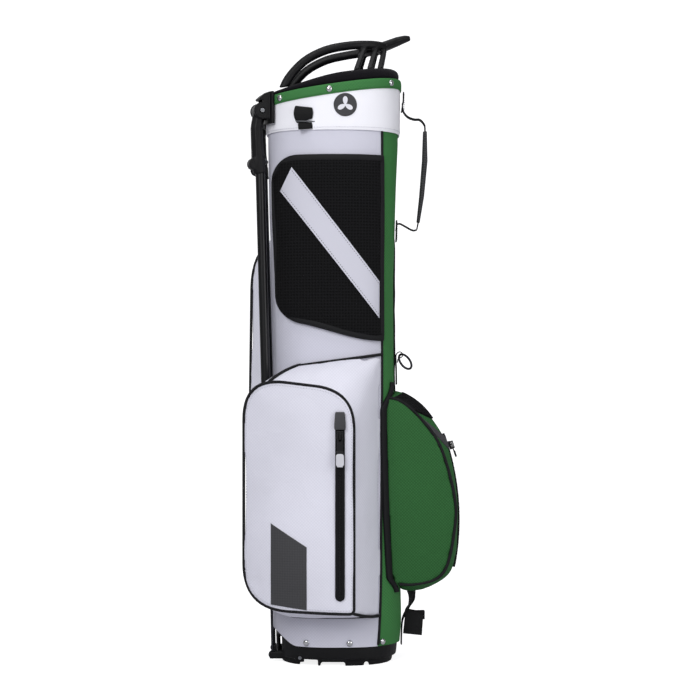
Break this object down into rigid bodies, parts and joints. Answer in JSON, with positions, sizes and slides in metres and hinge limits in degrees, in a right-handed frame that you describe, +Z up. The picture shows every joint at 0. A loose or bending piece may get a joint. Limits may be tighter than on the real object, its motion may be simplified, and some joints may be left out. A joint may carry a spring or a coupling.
{
  "type": "golf stand bag",
  "caption": "Upright golf bag with a slanted open cuff, moulded lift handle, two folding stand legs, side and ball pockets, hip pad and carry straps.",
  "frame": {"origin": "centre of the flat sole of the moulded base, on the floor, on the axis of the bag's tube", "axes": "+Z up along the tube, +X towards the spine with the ball pocket, -X towards the stand legs, -Y towards the hip pad"},
  "size_m": [0.305, 0.2808, 0.8832],
  "materials": {
    "white_fabric": "white quilted-look nylon",
    "green_fabric": "green ripstop-look nylon",
    "black_mesh": "black spacer mesh",
    "black_webbing": "black woven webbing",
    "black_plastic": "moulded, satin",
    "grey_plastic": "moulded, satin",
    "black_tube": "black anodised",
    "steel": "plain steel wire and pins",
    "chrome": "bright plated",
    "black_rubber": "moulded, matte"
  },
  "bodies": {
    "bag": {"body_shell": "white_fabric", "spine_panel": "green_fabric", "stay_near": "black_tube", "stay_far": "black_tube", "base_cup": "black_plastic", "foot_hinge_pin": "steel", "top_cuff": "black_plastic", "cuff_divider": "black_mesh", "cuff_wrap": "white_fabric", "collar_band": "green_fabric", "top_handle": "black_plastic", "hip_pad": "black_mesh", "apparel_pocket": "white_fabric", "garment_pocket": "white_fabric", "ball_pocket": "green_fabric", "apparel_zip_tape": "black_webbing", "garment_zip_tape": "black_webbing", "apparel_zip_garage": "grey_plastic", "ball_zip_tape": "black_webbing", "near_leg_pin": "steel", "far_leg_pin": "steel", "leg_bracket": "black_plastic", "carry_tab_top": "black_webbing", "carry_tab_low": "black_webbing", "carry_handle": "black_webbing", "carry_grip": "black_rubber", "towel_tab": "black_webbing", "clip_body": "black_webbing", "clip_bar": "chrome", "cuff_rivet_near_1": "chrome", "cuff_rivet_far_1": "chrome", "cuff_rivet_near_2": "chrome", "cuff_rivet_far_2": "chrome", "cuff_rivet_near_3": "chrome", "cuff_rivet_far_3": "chrome", "base_rivet_near_1": "chrome", "base_rivet_near_2": "chrome", "base_rivet_near_3": "chrome", "base_rivet_far_1": "chrome", "base_rivet_far_2": "chrome", "strap_webbing": "black_webbing", "strap_pad": "black_mesh", "strap_buckle": "black_plastic", "strap_tail": "black_webbing"},
    "near_leg": {"near_leg_arm": "black_plastic", "near_leg_tube": "black_tube", "near_leg_foot": "black_rubber"},
    "far_leg": {"far_leg_arm": "black_plastic", "far_leg_tube": "black_tube", "far_leg_foot": "black_rubber"},
    "near_rod": {"near_push_rod": "steel"},
    "far_rod": {"far_push_rod": "steel"},
    "foot": {"base_foot": "black_plastic"},
    "apparel_slider": {"apparel_zip_slider": "black_plastic"},
    "apparel_pull": {"apparel_zip_pull": "grey_plastic"},
    "garment_slider": {"garment_zip_slider": "black_plastic"},
    "garment_pull": {"garment_zip_pull": "grey_plastic"},
    "ball_slider": {"ball_zip_slider": "black_plastic"},
    "ball_pull": {"ball_zip_pull": "grey_plastic"},
    "ring": {"towel_ring": "chrome"}
  },
  "joints": [
    {"name": "near_leg_swing", "type": "hinge", "parent": "bag", "child": "near_leg", "pos_m": [-0.107, -0.046, 0.77], "axis": [-0.309, 0.9511, 0], "range_deg": [0, 30], "stiffness_Nm_per_rad": 0.08, "springref_deg": -34.38},
    {"name": "near_rod_pivot", "type": "hinge", "parent": "near_leg", "child": "near_rod", "pos_m": [-0.10562, -0.03083, 0.708], "axis": [-0.309, 0.9511, 0], "range_deg": [-33, 0]},
    {"name": "far_leg_swing", "type": "hinge", "parent": "bag", "child": "far_leg", "pos_m": [-0.107, 0.046, 0.77], "axis": [0.309, 0.9511, 0], "range_deg": [0, 30], "stiffness_Nm_per_rad": 0.08, "springref_deg": -34.38},
    {"name": "far_rod_pivot", "type": "hinge", "parent": "far_leg", "child": "far_rod", "pos_m": [-0.10562, 0.03083, 0.708], "axis": [0.309, 0.9511, 0], "range_deg": [-33, 0]},
    {"name": "foot_tilt", "type": "hinge", "parent": "bag", "child": "foot", "pos_m": [-0.051, 0, 0.01], "axis": [0, 1, 0], "range_deg": [0, 8.2]},
    {"name": "apparel_zip", "type": "slide", "parent": "bag", "child": "apparel_slider", "axis": [0, 0, -1], "range_m": [0, 0.215]},
    {"name": "apparel_pull_swing", "type": "hinge", "parent": "apparel_slider", "child": "apparel_pull", "pos_m": [0.005, -0.1388, 0.3246], "axis": [-1, 0, 0], "range_deg": [0, 100]},
    {"name": "garment_zip", "type": "slide", "parent": "bag", "child": "garment_slider", "axis": [0, 0, -1], "range_m": [0, 0.4]},
    {"name": "garment_pull_swing", "type": "hinge", "parent": "garment_slider", "child": "garment_pull", "pos_m": [-0.03, 0.13643, 0.5526], "axis": [1, 0, 0], "range_deg": [0, 100]},
    {"name": "ball_zip", "type": "hinge", "parent": "bag", "child": "ball_slider", "pos_m": [-0.185, 0, 0.197], "axis": [0, 1, 0], "range_deg": [0, 25]},
    {"name": "ball_pull_swing", "type": "hinge", "parent": "ball_slider", "child": "ball_pull", "pos_m": [0.16237, 0, 0.30515], "axis": [0, -1, 0], "range_deg": [0, 100]},
    {"name": "towel_ring_swing", "type": "hinge", "parent": "bag", "child": "ring", "pos_m": [0.0895, 0, 0.43], "axis": [0, -1, 0], "range_deg": [-35, 80]}
  ],
  "couplings": [
    {"joint": "far_leg_swing", "follows": "near_leg_swing", "ratio": 1},
    {"joint": "near_rod_pivot", "follows": "near_leg_swing", "ratio": -1.0886},
    {"joint": "far_rod_pivot", "follows": "near_leg_swing", "ratio": -1.0886},
    {"joint": "foot_tilt", "follows": "near_leg_swing", "ratio": 0.266}
  ]
}
